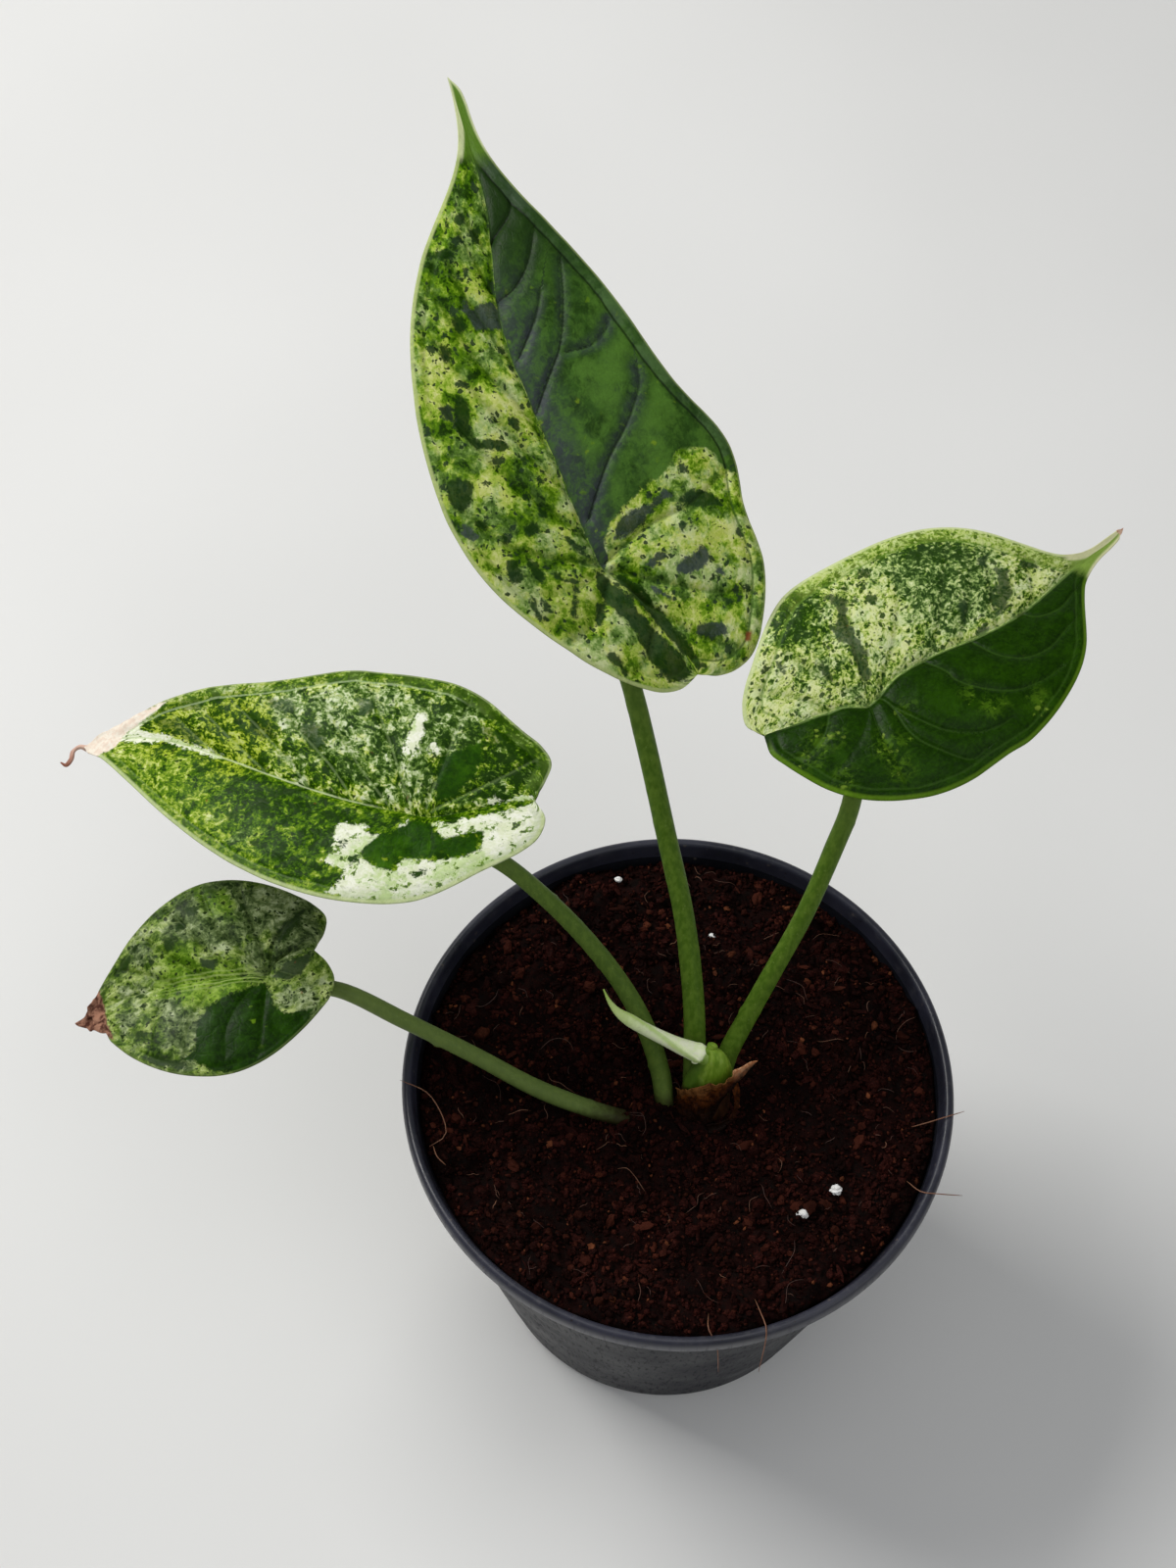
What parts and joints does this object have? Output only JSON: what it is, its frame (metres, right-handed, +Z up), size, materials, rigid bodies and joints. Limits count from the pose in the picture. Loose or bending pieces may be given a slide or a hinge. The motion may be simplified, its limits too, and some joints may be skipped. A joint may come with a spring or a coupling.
{
  "type": "potted foliage plant",
  "caption": "Potted aroid with long-stalked, pointed, marbled green and cream leaves, a rolled young leaf and potting mix in a plain round nursery pot.",
  "frame": {"origin": "middle of the pot's flat underside, at the level it stands on", "axes": "+Z up along the pot's axis; the largest leaf reaches towards +Y, the two older leaves towards -X"},
  "size_m": [0.2165, 0.2145, 0.238],
  "materials": {
    "pot_plastic": "satin black nursery pot",
    "potting_mix": "moist crumbly coir and peat",
    "leaf": "smooth leathery leaf, marbled green and cream",
    "leaf_stalk": "smooth matt green stalk",
    "young_leaf": "smooth pale rolled leaf",
    "dry_sheath": "dry papery brown",
    "rootstock": "rough brown stem and roots",
    "perlite": "white rough grain"
  },
  "bodies": {
    "root": {"pot": "pot_plastic", "potting_mix": "potting_mix", "leaf_1_blade": "leaf", "leaf_2_blade": "leaf", "leaf_3_blade": "leaf", "leaf_4_blade": "leaf", "leaf_1_petiole": "leaf_stalk", "leaf_2_petiole": "leaf_stalk", "leaf_3_petiole": "leaf_stalk", "leaf_4_petiole": "leaf_stalk", "young_leaf_rolled": "young_leaf", "rootstock_with_roots": "rootstock", "dried_sheath_leaf": "dry_sheath", "perlite_grain_1": "perlite", "perlite_grain_2": "perlite", "perlite_grain_3": "perlite", "perlite_grain_4": "perlite"}
  },
  "joints": []
}
